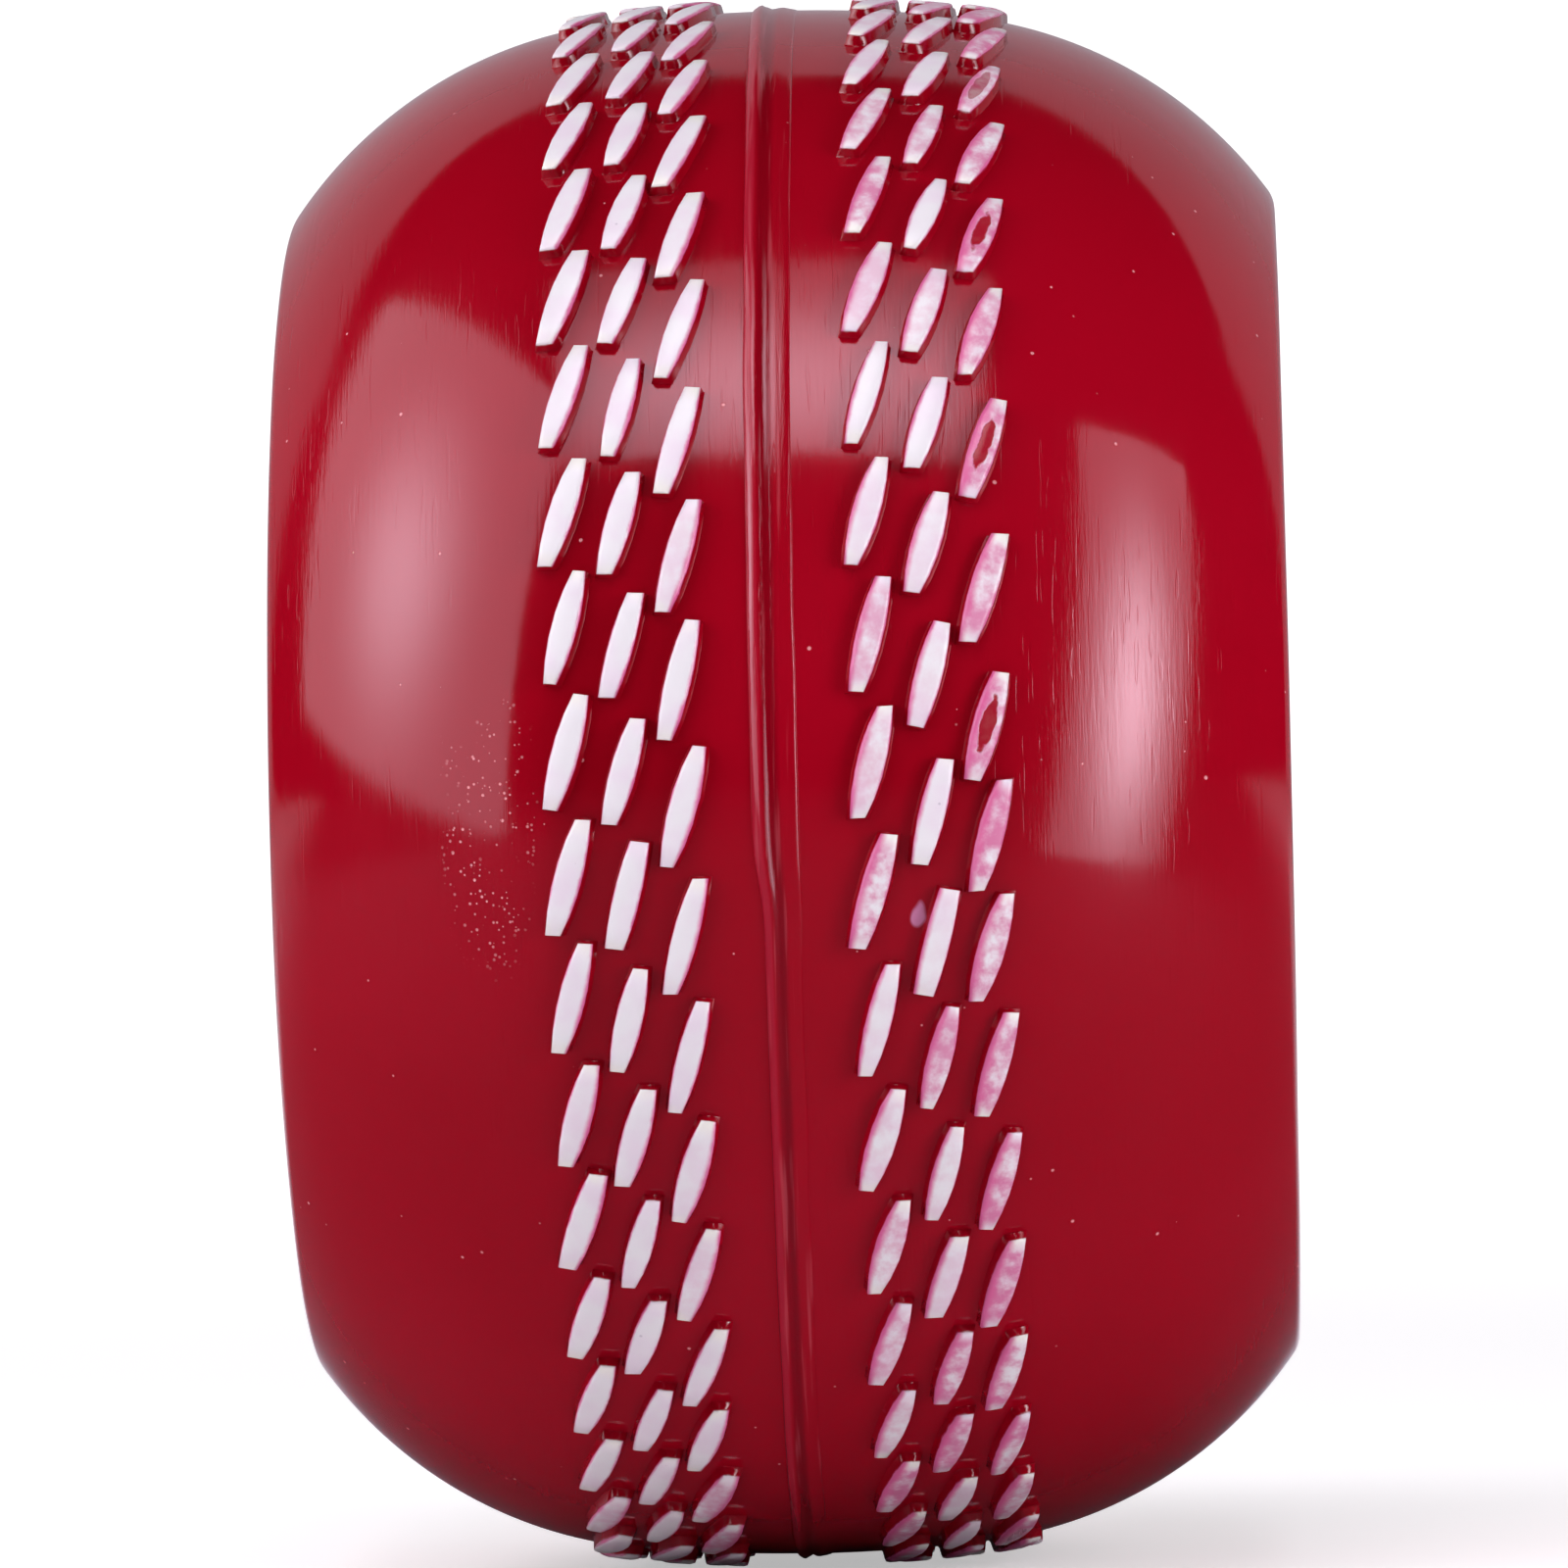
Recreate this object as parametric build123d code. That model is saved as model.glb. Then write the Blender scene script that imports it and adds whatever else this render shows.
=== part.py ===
"""Side-cut cricket training ball, in millimetres.

The ball is a barrel-shaped body of revolution about the X axis with two flat sides. It stands on its
crown, +Z up, and its centre is the origin. Two identical moulded half shells meet in the plane X = 0
around a solid core. A weld bead fills the V-groove between their rims. Each shell carries three rows
of raised stitch pads, and each pad has a cap of white paint on its top.
"""

import os
from math import cos, radians, sin, sqrt

from build123d import *

# ---- driving dimensions ----
ball_diameter = 72.0  # across the crown at the seam, under the stitches
ball_width = 45.6  # between the two flat sides
crown_radius = 78.0  # of the nearly flat arc across the crown
crown_half_width = 8.0  # from the seam to where the shoulder arc begins
shoulder_radius = 20.4  # of the arc from the crown to the flat side
rim_fillet = 1.5  # between the shoulder and the flat side
wall = 5.0  # shell thickness, the same all over
bond_gap = 0.1  # between the core and the shells

groove_half_width = 1.05  # of the V-groove at the seam
groove_depth = 1.0
bead_height = 0.25  # of the trimmed bead above the crown
bead_peak_offset = -0.55  # the bead is trimmed at a slant, so its peak is left of the seam

gate_radius = 3.0  # of the round recess in the middle of each flat side
gate_depth = 0.4
gate_nub_radius = 0.9  # of the trimmed feed mark in the recess
gate_nub_height = 0.25

stitches_per_row = 40
stitch_length = 5.0
stitch_width = 1.5  # at the middle of a stitch
stitch_end_width = 0.95
stitch_slant = 13.0  # degrees between a stitch and its row
pad_height = 0.5  # of the moulded pad above the crown
pad_root = 0.6  # how deep a pad's prism starts under the surface, where it merges with the shell
paint_thickness = 0.1

# Right half: distance of each row from the seam, and the angle of its first stitch below the -Y direction.
rows = {
    "inner": (4.15, -1.4),
    "middle": (6.7, 1.35),
    "outer": (9.2, 2.75),
}

# ---- worked out from the driving dimensions ----
ball_radius = ball_diameter / 2
half_width = ball_width / 2
crown_centre = ball_radius - crown_radius  # height of the crown arc's centre
crown_reach = sqrt(crown_radius**2 - crown_half_width**2)
join_height = crown_centre + crown_reach  # where crown and shoulder meet
centre_share = shoulder_radius / crown_radius
shoulder_centre = (
    crown_half_width * (1 - centre_share),
    join_height - crown_reach * centre_share,
)
pitch_angle = 360.0 / stitches_per_row


def on_arc(centre, radius, angle):
    """The point at an angle, in degrees, on an arc about a centre in the profile plane."""
    return (centre[0] + radius * cos(radians(angle)), centre[1] + radius * sin(radians(angle)))


def barrel_face(inset, flat_at):
    """Half of the barrel's section, from the seam plane to a flat side.

    The arcs are the ball's own, moved inwards by inset, so they keep their centres. The face lies in
    the XZ plane, where Z is the distance from the axis.
    """
    crown = crown_radius - inset
    shoulder = shoulder_radius - inset
    crown_angle = 90 - Vector(crown_half_width, crown_reach).get_angle(Vector(0, 1))
    top = (0, ball_radius - inset)
    join = on_arc((0, crown_centre), crown, crown_angle)
    crown_mid = on_arc((0, crown_centre), crown, (90 + crown_angle) / 2)
    rise = sqrt(shoulder**2 - (flat_at - shoulder_centre[0]) ** 2)
    edge = (flat_at, shoulder_centre[1] + rise)
    edge_angle = Vector(flat_at - shoulder_centre[0], rise).get_angle(Vector(1, 0))
    shoulder_mid = on_arc(shoulder_centre, shoulder, (crown_angle + edge_angle) / 2)
    with BuildSketch(Plane.XZ) as section:
        with BuildLine():
            ThreePointArc(top, crown_mid, join)
            ThreePointArc(join, shoulder_mid, edge)
            Polyline(edge, (flat_at, 0), (0, 0), top)
        make_face()
        fillet(section.vertices().group_by(Axis.X)[-1].sort_by(Axis.Z)[-1:], rim_fillet)
    return section.sketch


def turned(section):
    """A section in the XZ plane turned once about the ball's axis."""
    return revolve(section, Axis.X, 360)


def side_recess():
    """The round recess in a flat side, with the nub of the feed mark left standing in it."""
    floor = half_width - gate_depth
    recess = Location((floor, 0, 0), (0, 90, 0)) * Cylinder(
        gate_radius, 2 * gate_depth, align=(Align.CENTER, Align.CENTER, Align.MIN)
    )
    nub = Location((floor, 0, 0), (0, 90, 0)) * Cylinder(
        gate_nub_radius, gate_nub_height, align=(Align.CENTER, Align.CENTER, Align.MIN)
    )
    return recess - nub


def seam_groove():
    """The V cut around the seam, half of it in each shell."""
    deep = 2 * groove_depth
    with BuildSketch(Plane.XZ) as section:
        with BuildLine():
            slope = groove_half_width / groove_depth
            low = ball_radius - groove_depth
            Polyline((0, low), (slope * deep, low + deep), (-slope * deep, low + deep), (0, low))
        make_face()
    return turned(section.sketch)


def bead():
    """The weld bead that fills the groove and stands a little above the crown, trimmed at a slant."""
    rim = crown_centre + sqrt(crown_radius**2 - groove_half_width**2)
    groove_edge = groove_half_width * (rim - ball_radius + groove_depth) / groove_depth
    with BuildSketch(Plane.XZ) as section:
        with BuildLine():
            Polyline(
                (0, ball_radius - groove_depth),
                (groove_edge, rim),
                (bead_peak_offset, ball_radius + bead_height),
                (-groove_edge, rim),
                (0, ball_radius - groove_depth),
            )
        make_face()
    return turned(section.sketch)


def layer(low, high):
    """The ring between two offsets of the crown, given by their heights above it."""
    return turned(barrel_face(-high, half_width)) - turned(barrel_face(-low, half_width))


def stitch_prism(row_x):
    """A boat-shaped prism that stands on the crown at the -Y side, its long axis leaning off the row."""
    half_long = stitch_length / 2
    half_end = stitch_end_width / 2
    half_mid = stitch_width / 2
    with BuildSketch() as outline:
        with BuildLine():
            Line((-half_end, half_long), (half_end, half_long))
            ThreePointArc((half_end, half_long), (half_mid, 0), (half_end, -half_long))
            Line((half_end, -half_long), (-half_end, -half_long))
            ThreePointArc((-half_end, -half_long), (-half_mid, 0), (-half_end, half_long))
        make_face()
    low = ball_radius - 3 * pad_root
    high = ball_radius + 3 * pad_height
    prism = extrude(outline.sketch, high - low)
    # The sketch's Y becomes the ball's Z, and the extrusion points along -Y.
    return Location((row_x, -low, 0)) * Rot(90, 0, 0) * Rot(0, 0, -stitch_slant) * prism


def around(stitch, first_angle):
    """Copies of one stitch all the way round, the first one first_angle degrees below -Y."""
    return [
        Rot(first_angle + number * pitch_angle, 0, 0) * stitch for number in range(stitches_per_row)
    ]


def left_of(shape):
    """A part of the right half turned half a turn about Y, which makes it a part of the left half."""
    return Rot(0, 180, 0) * shape


def half_shell():
    """The right half shell: a cup with a flat side, its rim bevelled for the bead, and its stitch pads."""
    cavity = turned(barrel_face(wall, half_width - wall))
    shell = turned(barrel_face(0, half_width)) - cavity - side_recess() - seam_groove()
    pad_layer = layer(-pad_root, pad_height)
    for row_x, first_angle in rows.values():
        pads = around(stitch_prism(row_x) & pad_layer, first_angle)
        shell = shell.fuse(*pads)
    return shell


def paint_rows():
    """The paint caps of the right half, one group of separate solids for each row."""
    paint_layer = layer(pad_height, pad_height + paint_thickness)
    return {
        name: Compound(around(stitch_prism(row_x) & paint_layer, first_angle))
        for name, (row_x, first_angle) in rows.items()
    }


def core():
    """The solid core, which fills both shells but for the bond gap."""
    half = barrel_face(wall + bond_gap, half_width - wall - bond_gap)
    return turned(half + mirror(half, Plane.YZ))


right_shell = half_shell()
nodes = {
    "core": core(),
    "right_half_shell": right_shell,
    "left_half_shell": left_of(right_shell),
    "seam_bead": bead(),
}
for row_name, caps in paint_rows().items():
    nodes[f"right_{row_name}_stitch_paint"] = caps
    nodes[f"left_{row_name}_stitch_paint"] = left_of(caps)

os.makedirs("parts", exist_ok=True)
for node_name, shape in nodes.items():
    export_step(shape, f"parts/{node_name}.step")
    print(node_name, len(shape.solids()), "solids", round(shape.volume, 1), "mm3")
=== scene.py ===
# %% [markdown]
# # A side-cut cricket training ball
# The real ball is a toy-like practice ball, moulded in glossy red vinyl as two identical halves. The halves
# are welded over a solid core, and the weld bead is trimmed with a knife. Three rows of raised stitches on
# each side of the seam are moulded with the halves, and white paint is rolled over their tops.
# The measured CAD model is the frame. Its plain nodes could be rendered as they are, but the bead, the
# stitches and the skin all need unevenness of their own, so each gets a new surface here, in the CAD's place.

# %% Load the frame
from math import asin, atan2, cos, pi, radians, sin, sqrt

import bpy
import numpy as np
from mathutils import Matrix, Vector


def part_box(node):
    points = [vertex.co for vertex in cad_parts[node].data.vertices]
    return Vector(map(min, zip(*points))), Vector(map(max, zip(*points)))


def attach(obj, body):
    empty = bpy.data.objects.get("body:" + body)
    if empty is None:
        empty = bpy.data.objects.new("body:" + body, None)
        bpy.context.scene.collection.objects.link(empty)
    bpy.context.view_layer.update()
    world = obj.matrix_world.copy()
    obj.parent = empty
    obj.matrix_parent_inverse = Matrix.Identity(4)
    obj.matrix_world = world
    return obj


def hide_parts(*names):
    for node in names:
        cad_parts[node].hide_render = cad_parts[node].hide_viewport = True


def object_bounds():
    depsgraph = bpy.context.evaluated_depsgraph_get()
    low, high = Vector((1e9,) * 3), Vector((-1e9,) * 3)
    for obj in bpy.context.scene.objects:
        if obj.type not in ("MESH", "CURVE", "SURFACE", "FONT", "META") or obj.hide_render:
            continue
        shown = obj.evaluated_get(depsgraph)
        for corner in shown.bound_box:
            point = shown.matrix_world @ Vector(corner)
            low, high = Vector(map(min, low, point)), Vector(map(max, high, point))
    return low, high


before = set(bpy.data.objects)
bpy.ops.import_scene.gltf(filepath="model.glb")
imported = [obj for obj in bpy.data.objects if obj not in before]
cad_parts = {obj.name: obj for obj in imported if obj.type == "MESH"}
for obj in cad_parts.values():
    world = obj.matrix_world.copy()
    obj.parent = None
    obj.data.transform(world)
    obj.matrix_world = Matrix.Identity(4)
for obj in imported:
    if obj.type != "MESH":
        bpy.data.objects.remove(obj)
cad_box = [list(corner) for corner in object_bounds()]
print("CAD box in mm:", [[round(c * 1000, 2) for c in corner] for corner in cad_box])

# %% [markdown]
# ## Where things are
# The ball's axis is X and it stands on its crown, with Z up. Its profile is two arcs, a nearly flat crown
# and a round shoulder, and then a flat side with a small edge radius. The boxes of the CAD nodes give the
# width and the diameter, and the arcs' radii are repeated here, because every piece follows this profile.

# %% Sizes, in metres
MM = 0.001
HALF_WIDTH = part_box("right_half_shell")[1].x
CORE_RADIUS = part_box("core")[1].z
WALL = 5.0 * MM
BOND_GAP = 0.1 * MM
BALL_RADIUS = CORE_RADIUS + BOND_GAP + WALL
CROWN_RADIUS = 78.0 * MM
CROWN_HALF_WIDTH = 8.0 * MM
SHOULDER_RADIUS = 20.4 * MM
RIM_FILLET = 1.5 * MM
FLOOR_Z = cad_box[0][2]

crown_centre = BALL_RADIUS - CROWN_RADIUS
crown_reach = sqrt(CROWN_RADIUS**2 - CROWN_HALF_WIDTH**2)
centre_share = SHOULDER_RADIUS / CROWN_RADIUS
shoulder_x = CROWN_HALF_WIDTH * (1 - centre_share)
shoulder_r = crown_centre + crown_reach * (1 - centre_share)
print(f"ball {2 * BALL_RADIUS / MM:.1f} mm across and {2 * HALF_WIDTH / MM:.1f} mm wide")
print(f"floor at {FLOOR_Z / MM:.2f} mm")


# %% The profile as a function
def barrel(x):
    """Radius of the barrel at a distance x from the seam plane, and the outward normal there.

    Inside the crown's half width the radius is the crown circle's, beyond it the shoulder circle's. The
    normal's two parts, along the axis and away from it, are the direction from that circle's centre.
    """
    side = np.where(x < 0, -1.0, 1.0)
    x = np.minimum(np.abs(x), HALF_WIDTH)
    crown_rise = np.sqrt(CROWN_RADIUS**2 - np.minimum(x, CROWN_HALF_WIDTH) ** 2)
    shoulder_rise = np.sqrt(SHOULDER_RADIUS**2 - (np.maximum(x, CROWN_HALF_WIDTH) - shoulder_x) ** 2)
    on_crown = x < CROWN_HALF_WIDTH
    radius = np.where(on_crown, crown_centre + crown_rise, shoulder_r + shoulder_rise)
    along = np.where(on_crown, x / CROWN_RADIUS, (x - shoulder_x) / SHOULDER_RADIUS)
    away = np.where(on_crown, crown_rise / CROWN_RADIUS, shoulder_rise / SHOULDER_RADIUS)
    return radius, along * side, away


def around_axis(x, radius, angle):
    """Points at distance x along the axis and a radius from it. The angle is 0 at -Y and grows upwards."""
    return np.stack(np.broadcast_arrays(x, -radius * np.cos(angle), radius * np.sin(angle)), axis=-1)


print(f"radius at the flat side, without its edge: {float(barrel(HALF_WIDTH)[0]) / MM:.2f} mm")

# %% [markdown]
# ## Camera
# A long lens over half a metre away gives a gentle perspective. The camera stands a little to the right of the
# ball's front and is rolled slightly, so that the seam leans to the left at the top.

# %% Camera
camera_yaw, camera_roll, camera_distance = radians(1.885), radians(-1.298), 0.5585
back = Vector((sin(camera_yaw), -cos(camera_yaw), 0))
level = Vector((cos(camera_yaw), sin(camera_yaw), 0))
right = level * cos(camera_roll) + Vector((0, 0, 1)) * sin(camera_roll)
camera_data = bpy.data.cameras.new("camera")
camera_data.lens = 274.3
camera_data.sensor_width = 36.0
camera_data.shift_x, camera_data.shift_y = -0.0094, -0.0012
camera = bpy.data.objects.new("camera", camera_data)
bpy.context.scene.collection.objects.link(camera)
axes = Matrix((right, back.cross(right), back)).transposed().to_4x4()
camera.matrix_world = Matrix.Translation(back * camera_distance) @ axes
bpy.context.scene.camera = camera
print("camera at", [round(c, 4) for c in camera.location])

# %% [markdown]
# ## Shader helpers
# Every material below is built from nodes. One small function adds a node and fills its sockets, either with
# a value or with the output of another node, which keeps the recipes short enough to read.


# %% Node helper
def add(tree, kind, inputs=None, **settings):
    """A new node in a tree. Each input is given a value, or another node's output to read from."""
    node = tree.nodes.new(kind)
    for name, value in settings.items():
        setattr(node, name, value)
    for name, value in (inputs or {}).items():
        if isinstance(value, bpy.types.NodeSocket):
            tree.links.new(value, node.inputs[name])
        else:
            node.inputs[name].default_value = value
    return node


def maths(tree, operation, first, second=0.0, third=0.0):
    """The output of a Math node."""
    node = add(tree, "ShaderNodeMath", {0: first, 1: second, 2: third}, operation=operation)
    return node.outputs[0]


def ramp(tree, value, low, high, start=0.0, end=1.0):
    """A smooth step: start where value is at low, end where it is at high."""
    levels = {"Value": value, "From Min": low, "From Max": high, "To Min": start, "To Max": end}
    node = add(tree, "ShaderNodeMapRange", levels, interpolation_type="SMOOTHSTEP")
    return node.outputs["Result"]


def blend(tree, factor, first, second):
    """A mix of two colours."""
    node = add(tree, "ShaderNodeMix", data_type="RGBA")
    for socket, value in ((0, factor), (6, first), (7, second)):
        if isinstance(value, bpy.types.NodeSocket):
            tree.links.new(value, node.inputs[socket])
        else:
            node.inputs[socket].default_value = value if socket == 0 else (*value, 1.0)
    return node.outputs[2]


def new_group(name, inputs, outputs):
    """An empty node group with named number or colour sockets, its input node and its output node."""
    group = bpy.data.node_groups.new(name, "ShaderNodeTree")
    for socket, default in inputs.items():
        made = group.interface.new_socket(socket, in_out="INPUT", socket_type="NodeSocketFloat")
        made.default_value = default
    for socket, kind in outputs.items():
        group.interface.new_socket(socket, in_out="OUTPUT", socket_type=kind)
    return group, group.nodes.new("NodeGroupInput"), group.nodes.new("NodeGroupOutput")


def new_material(name):
    """A material with an empty node tree, and that tree."""
    material = bpy.data.materials.new(name)
    material.use_nodes = True
    material.node_tree.nodes.clear()
    return material, material.node_tree


print("node helpers: add, maths, ramp, blend, new_group and new_material")

# %% [markdown]
# ## Studio
# Three softboxes light the ball: a large one on its left, a narrower one on its right and one overhead in
# front. Each is brightest near its middle, because a lamp behind the cloth makes a hot spot, and gloss shows
# that. The lamps could be spheres or points, but only a panel leaves a window-shaped highlight.

# %% Softboxes


def softbox(
    name, azimuth, elevation, width, height, distance, edge, peak, spread, tilt=0.0, spot=0.5, flag=0.0
):
    """An area lamp that faces the ball, edge bright at its border and peak bright at its hot spot.

    Azimuth is 0 in front of the ball and grows to the right. Width and height are for a lamp one metre away,
    and shrink with the distance, and the power follows the area, so neither changes how bright the lamp
    looks from the ball. The brightness falls off from the hot spot, which is spot of the way up, as a bell
    curve of the distance, in the lamp's own width and height, divided by spread. A dark flag cuts the lower
    edge at a slant, from flag of the height at one end to nothing at the other.
    """
    width, height = width * distance, height * distance
    lamp = bpy.data.lights.new(name, "AREA")
    lamp.shape, lamp.size, lamp.size_y = "RECTANGLE", width, height
    lamp.energy = 4.0 * width * height
    lamp.use_nodes = True
    tree = lamp.node_tree
    tree.nodes.clear()
    place = add(tree, "ShaderNodeSeparateXYZ", {0: add(tree, "ShaderNodeNewGeometry").outputs["Parametric"]})
    across = maths(tree, "SUBTRACT", place.outputs[0], 0.5)
    upward = maths(tree, "SUBTRACT", place.outputs[1], spot)
    squares = maths(tree, "ADD", maths(tree, "POWER", across, 2.0), maths(tree, "POWER", upward, 2.0))
    bell = maths(tree, "EXPONENT", maths(tree, "DIVIDE", squares, -(spread**2)))
    strength = maths(tree, "MULTIPLY_ADD", bell, peak - edge, edge)
    if flag:
        edge_height = maths(tree, "MULTIPLY", place.outputs[0], -flag)
        over_flag = maths(tree, "SUBTRACT", place.outputs[1], maths(tree, "ADD", edge_height, flag))
        strength = maths(tree, "MULTIPLY", strength, ramp(tree, over_flag, 0.0, 0.04))
    glow = add(tree, "ShaderNodeEmission", {"Color": (1.0, 0.94, 1.0, 1.0), "Strength": strength})
    add(tree, "ShaderNodeOutputLight", {0: glow.outputs[0]})
    lamp_object = bpy.data.objects.new(name, lamp)
    lamp_object.visible_camera = False
    bpy.context.scene.collection.objects.link(lamp_object)
    azimuth, elevation = radians(azimuth), radians(elevation)
    away = Vector((sin(azimuth) * cos(elevation), -cos(azimuth) * cos(elevation), sin(elevation)))
    turn = away.to_track_quat("Z", "Y").to_matrix() @ Matrix.Rotation(radians(tilt), 3, "Z")
    lamp_object.matrix_world = Matrix.Translation(away * distance) @ turn.to_4x4()


softbox(
    "softbox_left", -65.5, 22, 1.20, 1.36, 0.28,
    edge=1.25, peak=4.7, spread=0.2, tilt=7, spot=0.53, flag=0.35,
)
softbox("softbox_right", 54, 12, 0.50, 1.10, 0.19, edge=1.1, peak=8.8, spread=0.26, tilt=-24, spot=0.45)
softbox("softbox_top", -3, 65, 0.66, 0.60, 1.0, edge=0.5, peak=4.0, spread=0.38, spot=0.33)

# %% [markdown]
# The floor is pale paper that curves up into a wall far behind the ball, so no edge shows. Paper that is
# as bright in the gloss as it is to the eye would wash out the lower half of the ball, so rays that bounce
# off something glossy see it dark in front of the ball, and glowing a little behind it, where it lights the
# rims. The room does the same: white to the eye, dark in the gloss in front.

# %% Floor and room


def mesh_object(name, points, faces, material=None):
    """An object from an array of points and a list of arrays of faces, smooth all over."""
    mesh = bpy.data.meshes.new(name)
    mesh.from_pydata(points.reshape(-1, 3), [], [tuple(f) for block in faces for f in block.tolist()])
    mesh.polygons.foreach_set("use_smooth", np.ones(len(mesh.polygons), bool))
    mesh.update()
    if material:
        mesh.materials.append(material)
    piece = bpy.data.objects.new(name, mesh)
    bpy.context.scene.collection.objects.link(piece)
    return piece


def grid_faces(rows, columns, wrap_rows=False, wrap_columns=False):
    """Four-cornered faces between the neighbours of a grid of points numbered row by row."""
    index = np.arange(rows * columns).reshape(rows, columns)
    if wrap_rows:
        index = np.vstack([index, index[:1]])
    if wrap_columns:
        index = np.hstack([index, index[:, :1]])
    corners = (index[:-1, :-1], index[:-1, 1:], index[1:, 1:], index[1:, :-1])
    return np.stack([c.ravel() for c in corners], axis=-1)


paper, tree = new_material("studio_paper")
path = add(tree, "ShaderNodeLightPath")
place = add(tree, "ShaderNodeTexCoord").outputs["Object"]
far = add(tree, "ShaderNodeSeparateXYZ", {0: place})
in_gloss = blend(tree, ramp(tree, far.outputs["Y"], -0.01, 0.15), (0.10, 0.07, 0.09), (0.90, 0.88, 1.0))
shade = blend(tree, path.outputs["Is Glossy Ray"], (0.84, 0.84, 0.85), in_gloss)
away = add(tree, "ShaderNodeVectorMath", {0: place}, operation="LENGTH").outputs["Value"]
glow = maths(tree, "MULTIPLY", path.outputs["Is Camera Ray"], ramp(tree, away, 0.08, 0.7, 0.45, 1.0))
gloss_glow = ramp(tree, far.outputs["Y"], 0.02, 0.2, 0.0, 0.35)
gloss_glow = maths(tree, "MULTIPLY", gloss_glow, ramp(tree, far.outputs["Y"], 0.3, 1.2, 1.0, 0.35))
glow = maths(tree, "MULTIPLY_ADD", path.outputs["Is Glossy Ray"], gloss_glow, glow)
look = {"Base Color": shade, "Roughness": 0.9, "Emission Color": (1, 1, 1, 1), "Emission Strength": glow}
surface = add(tree, "ShaderNodeBsdfPrincipled", look)
add(tree, "ShaderNodeOutputMaterial", {0: surface.outputs[0]})

# The sweep runs flat to y = 1.5 m, turns up on a quarter circle of radius 0.6 m, and ends 2.6 m high.
turn = np.linspace(0, pi / 2, 24)
sweep_y = np.concatenate([np.linspace(-3.0, 1.4, 12), 1.5 + 0.6 * np.sin(turn), [2.1]])
sweep_z = np.concatenate([np.zeros(12), 0.6 * (1 - np.cos(turn)), [2.6]]) + FLOOR_Z
sweep_x = np.linspace(-4.0, 4.0, 9)
sweep = np.stack(np.broadcast_arrays(sweep_x, sweep_y[:, None], sweep_z[:, None]), axis=-1)
floor = mesh_object("studio_floor", sweep, [grid_faces(*sweep.shape[:2])], paper)

world = bpy.data.worlds.new("studio_room")
world.use_nodes = True
bpy.context.scene.world = world
tree = world.node_tree
tree.nodes.clear()
path = add(tree, "ShaderNodeLightPath")
toward = add(tree, "ShaderNodeSeparateXYZ", {0: add(tree, "ShaderNodeTexCoord").outputs["Generated"]})
behind = ramp(tree, toward.outputs["Y"], 0.6, 0.97, 0.0, 1.0)
seen_in_gloss = maths(tree, "MULTIPLY", path.outputs["Is Glossy Ray"], behind)
not_gloss = maths(tree, "SUBTRACT", 1.0, path.outputs["Is Glossy Ray"])
fill = ramp(tree, path.outputs["Is Camera Ray"], 0.0, 1.0, 0.28, 1.0)
strength = maths(tree, "MULTIPLY_ADD", not_gloss, fill, seen_in_gloss)
room = add(tree, "ShaderNodeBackground", {"Color": (1.0, 0.98, 1.0, 1.0), "Strength": strength})
add(tree, "ShaderNodeOutputWorld", {0: room.outputs[0]})
bpy.context.scene.view_settings.view_transform = "Standard"
print("floor:", len(floor.data.polygons), "faces; room:", world.name)

# %% [markdown]
# ## Red vinyl
# The halves, the bead and the flanks of the stitches are one plastic: a deep, slightly bluish red that
# runs right through, with a moulded gloss. Handling has left fine scratches that run round the ball, trapped
# air has left pits near the left-hand stitches, whose glints are painted in as pale spots, and there is a
# little dust and a few smears of stitch paint. All of that is one node group, so the three materials that use
# it can't drift apart.

# %% Node group: red vinyl


def spots_group():
    """A node group of round spots, one in a few cells of a Voronoi pattern: 1 in a spot, 0 outside it.

    Cells is how many fit in a metre, Size a spot's radius as a share of a cell, and Rarity the share of
    cells that have none. Seed moves the pattern.
    """
    inputs = {"Cells": 500.0, "Size": 0.1, "Rarity": 0.9, "Seed": 0.0}
    tree, given, result = new_group("round_spots", inputs, {"Mask": "NodeSocketFloat"})
    place = add(tree, "ShaderNodeTexCoord").outputs["Object"]
    moved = add(tree, "ShaderNodeVectorMath", {0: place, 1: given.outputs["Seed"]}, operation="ADD")
    cell = add(tree, "ShaderNodeTexVoronoi", {"Vector": moved.outputs[0], "Scale": given.outputs["Cells"]})
    lot = add(tree, "ShaderNodeSeparateColor", {0: cell.outputs["Color"]})
    chosen = maths(tree, "GREATER_THAN", lot.outputs[0], given.outputs["Rarity"])
    # Each spot has its own size, from a third of the given one up to all of it.
    size_share = maths(tree, "MULTIPLY_ADD", lot.outputs[1], 0.7, 0.3)
    size = maths(tree, "MULTIPLY", given.outputs["Size"], size_share)
    mask = ramp(tree, cell.outputs["Distance"], size, maths(tree, "MULTIPLY", size, 0.5))
    tree.links.new(maths(tree, "MULTIPLY", mask, chosen), result.inputs["Mask"])
    return tree


round_spots = spots_group()


def spots(tree, cells, size, rarity, seed):
    """The round spots group placed in a tree with its own values."""
    node = add(tree, "ShaderNodeGroup", node_tree=round_spots)
    for socket, value in (("Cells", cells), ("Size", size), ("Rarity", rarity), ("Seed", seed)):
        node.inputs[socket].default_value = value
    return node.outputs["Mask"]


def vector(tree, operation, first, second=(0.0, 0.0, 0.0)):
    """The Vector Math node for an operation on two vectors, or on one if it takes only one."""
    return add(tree, "ShaderNodeVectorMath", {0: first, 1: second}, operation=operation)


def noise(tree, place, scale, detail=2.0, roughness=0.5):
    """A noise value around 0.5. Scale is in patches to the metre."""
    levels = {"Vector": place, "Scale": scale, "Detail": detail, "Roughness": roughness}
    return add(tree, "ShaderNodeTexNoise", levels).outputs["Fac"]


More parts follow.
